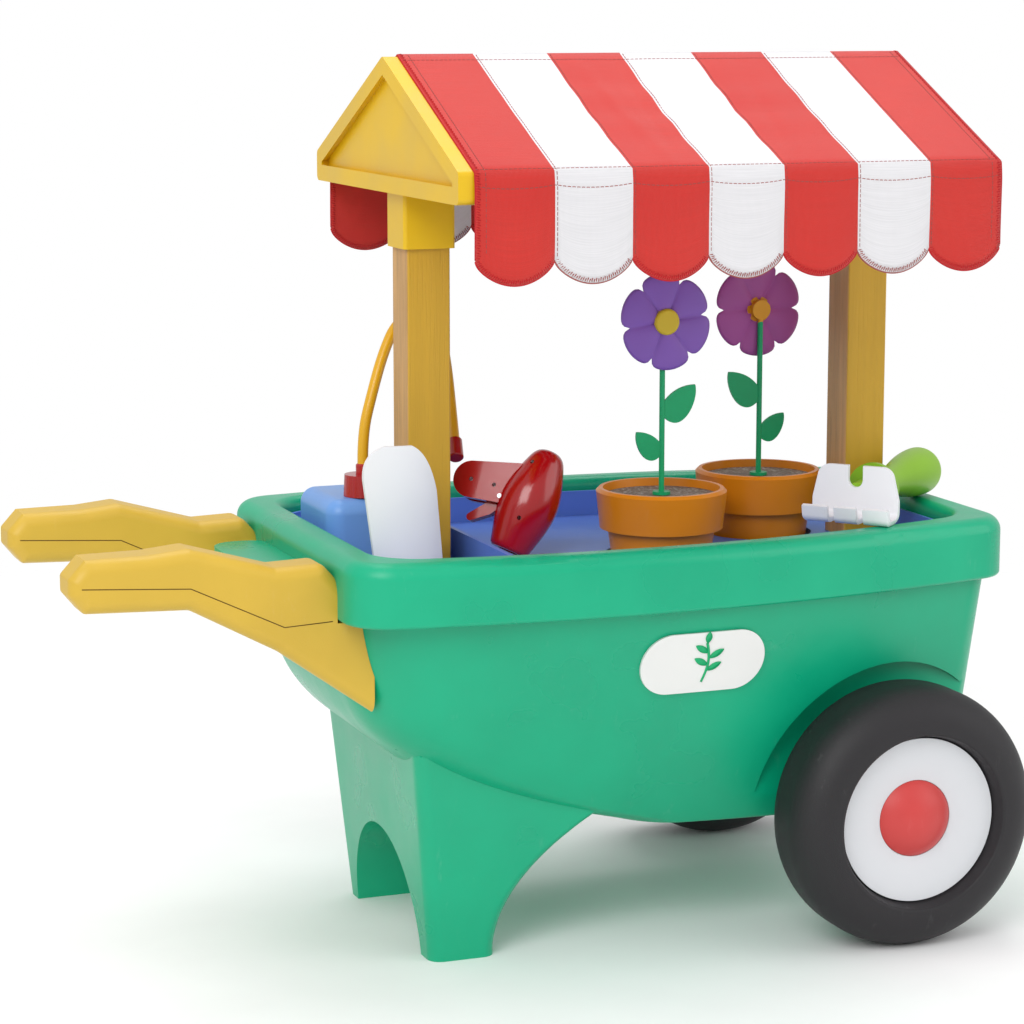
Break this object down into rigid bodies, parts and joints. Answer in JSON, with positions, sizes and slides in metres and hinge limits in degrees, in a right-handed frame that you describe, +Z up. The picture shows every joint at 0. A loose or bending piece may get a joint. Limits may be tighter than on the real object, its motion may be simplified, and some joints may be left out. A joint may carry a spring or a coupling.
{
  "type": "push vending cart",
  "caption": "Child's push garden cart with a scalloped fabric canopy on posts, side wheels, push handles, tray, flower pots, sprayer, trowel and rake.",
  "frame": {"origin": "on the floor, at the middle of the overall length and width", "axes": "+X from the push handles to the wheels, +Y to the pusher's left, +Z up"},
  "size_m": [0.614, 0.3462, 0.5617],
  "materials": {
    "green_plastic": "satin moulded plastic",
    "mustard_plastic": "satin moulded plastic",
    "yellow_plastic": "satin moulded plastic",
    "post_wood": "painted on the wide faces, plain grain on the narrow ones",
    "canopy_cloth": "striped cotton",
    "tyre_plastic": "matt",
    "disc_plastic": "satin",
    "hub_cap_plastic": "satin",
    "pot_plastic": "satin",
    "soil_board": "printed speckle",
    "stem_plastic": "satin",
    "petal_purple": "satin",
    "petal_magenta": "satin",
    "flower_middle": "satin",
    "tray_plastic": "satin",
    "tank_plastic": "satin",
    "sprayer_plastic": "gloss",
    "hose_rubber": "satin",
    "tool_plastic": "satin",
    "lime_plastic": "satin",
    "badge_plastic": "satin",
    "bushing_plastic": "satin",
    "steel": "zinc plated"
  },
  "bodies": {
    "cart": {"tub": "green_plastic", "tray": "tray_plastic", "handle_left_upper": "mustard_plastic", "handle_left_lower": "mustard_plastic", "handle_right_upper": "mustard_plastic", "handle_right_lower": "mustard_plastic", "handle_screws": "steel", "badge_left": "badge_plastic", "badge_right": "badge_plastic", "axle": "steel", "axle_washers": "steel", "push_nuts": "steel", "bushing_left": "bushing_plastic", "bushing_right": "bushing_plastic", "tank": "tank_plastic", "hose_nipple": "sprayer_plastic", "hose": "hose_rubber", "hose_connector": "sprayer_plastic", "gun_nose": "sprayer_plastic", "gun_shell_left": "sprayer_plastic", "gun_shell_right": "sprayer_plastic", "gun_screws": "steel", "trigger_pin": "steel", "trigger_spring": "steel"},
    "canopy": {"post_handle_end": "post_wood", "post_wheel_end": "post_wood", "gable_handle_end": "yellow_plastic", "gable_wheel_end": "yellow_plastic", "gable_screws": "steel", "ridge_rod": "steel", "eave_rod_left": "steel", "eave_rod_right": "steel", "canopy_fabric": "canopy_cloth"},
    "wheel_left": {"tyre_left": "tyre_plastic", "wheel_disc_left": "disc_plastic", "hub_cap_left": "hub_cap_plastic"},
    "wheel_right": {"tyre_right": "tyre_plastic", "wheel_disc_right": "disc_plastic", "hub_cap_right": "hub_cap_plastic"},
    "tank_cap": {"tank_cap": "sprayer_plastic"},
    "trigger": {"trigger": "sprayer_plastic"},
    "pot_a": {"pot_a": "pot_plastic", "soil_a": "soil_board"},
    "flower_a": {"flower_stem_a": "stem_plastic", "flower_petals_a": "petal_purple", "flower_centre_a": "flower_middle"},
    "pot_b": {"pot_b": "pot_plastic", "soil_b": "soil_board"},
    "flower_b": {"flower_stem_b": "stem_plastic", "flower_petals_b": "petal_magenta", "flower_centre_b": "flower_middle"},
    "trowel": {"trowel_blade": "tool_plastic", "trowel_handle": "lime_plastic"},
    "rake": {"rake_head": "tool_plastic", "rake_handle": "lime_plastic"}
  },
  "joints": [
    {"name": "wheel_left_spin", "type": "hinge", "parent": "cart", "child": "wheel_left", "pos_m": [0.218, 0, 0.0842], "axis": [0, 1, 0], "continuous": true},
    {"name": "wheel_right_spin", "type": "hinge", "parent": "cart", "child": "wheel_right", "pos_m": [0.218, 0, 0.0842], "axis": [0, 1, 0], "continuous": true},
    {"name": "canopy_lift", "type": "slide", "parent": "cart", "child": "canopy", "axis": [0, 0, 1], "range_m": [0, 0.12]},
    {"name": "tank_cap_turn", "type": "hinge", "parent": "cart", "child": "tank_cap", "pos_m": [-0.084, 0.033, 0.286], "axis": [0, 0, 1], "range_deg": [0, 120]},
    {"name": "trigger_pull", "type": "hinge", "parent": "cart", "child": "trigger", "pos_m": [-0.00077, -0.00337, 0.27759], "axis": [-0.5779, -0.7337, 0.3574], "range_deg": [0, 12], "stiffness_Nm_per_rad": 0.06, "springref_deg": -8.59},
    {"name": "pot_a_lift", "type": "slide", "parent": "cart", "child": "pot_a", "axis": [0, 0, 1], "range_m": [0, 0.05]},
    {"name": "flower_a_pull", "type": "slide", "parent": "pot_a", "child": "flower_a", "axis": [0, 0, 1], "range_m": [0, 0.025]},
    {"name": "pot_b_lift", "type": "slide", "parent": "cart", "child": "pot_b", "axis": [0, 0, 1], "range_m": [0, 0.05]},
    {"name": "flower_b_pull", "type": "slide", "parent": "pot_b", "child": "flower_b", "axis": [0, 0, 1], "range_m": [0, 0.025]},
    {"name": "trowel_lift", "type": "slide", "parent": "cart", "child": "trowel", "axis": [0, 0, 1], "range_m": [0, 0.07]},
    {"name": "rake_lift", "type": "slide", "parent": "cart", "child": "rake", "axis": [0, 0, 1], "range_m": [0, 0.05]}
  ]
}
